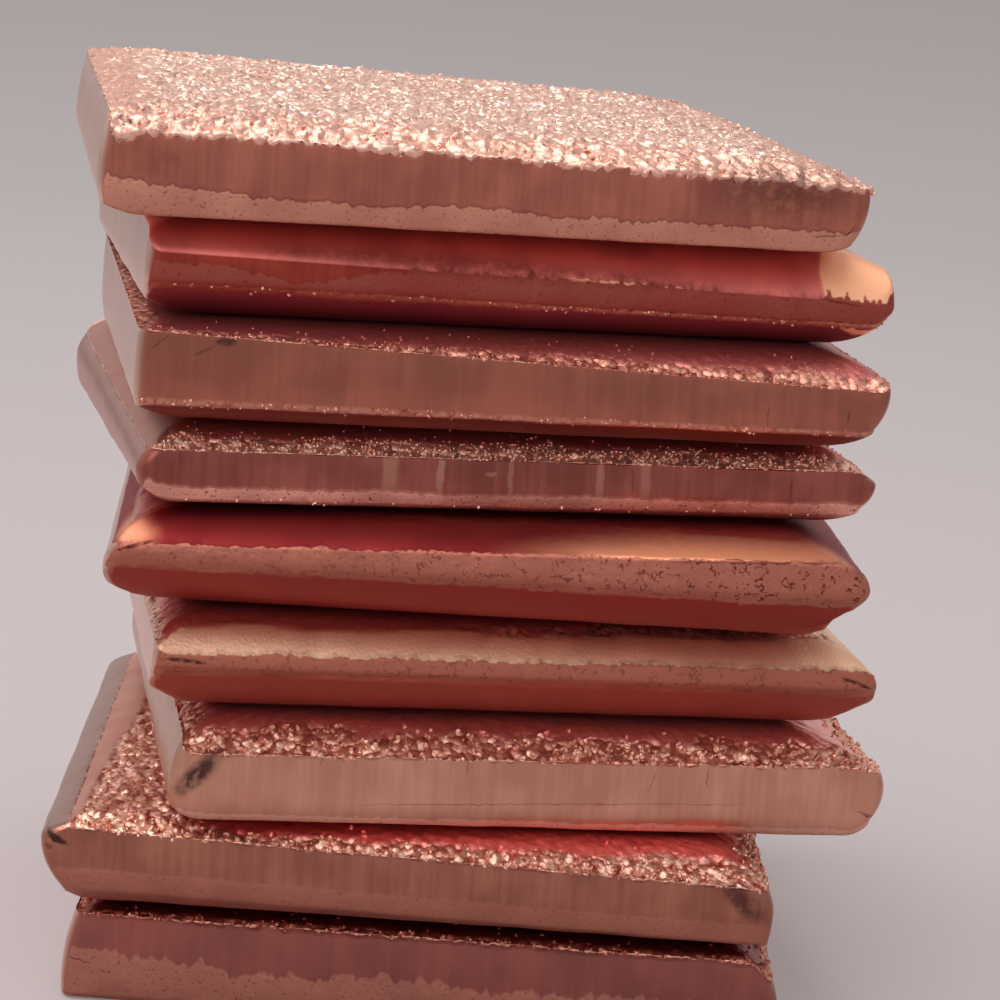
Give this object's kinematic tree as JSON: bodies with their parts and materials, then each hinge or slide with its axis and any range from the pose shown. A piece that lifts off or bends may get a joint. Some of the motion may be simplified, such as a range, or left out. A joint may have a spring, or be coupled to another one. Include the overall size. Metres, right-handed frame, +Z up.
{
  "type": "stack of cut copper squares",
  "caption": "Loose stack of small squares sheared from thick copper plate, with bent-over edges; raw stock for melting, alloying or plating.",
  "frame": {"origin": "on the floor, under the middle of the bottom square's underside", "axes": "+X to the right along the bottom square's front edge, +Y to its back edge, +Z up through the stack"},
  "size_m": [0.0325, 0.0338, 0.0328],
  "materials": {
    "copper": "bare copper, as grown and as sheared"
  },
  "bodies": {
    "root": {"square_1": "copper", "square_2": "copper", "square_3": "copper", "square_4": "copper", "square_5": "copper", "square_6": "copper", "square_7": "copper", "square_8": "copper", "square_9": "copper"}
  },
  "joints": []
}
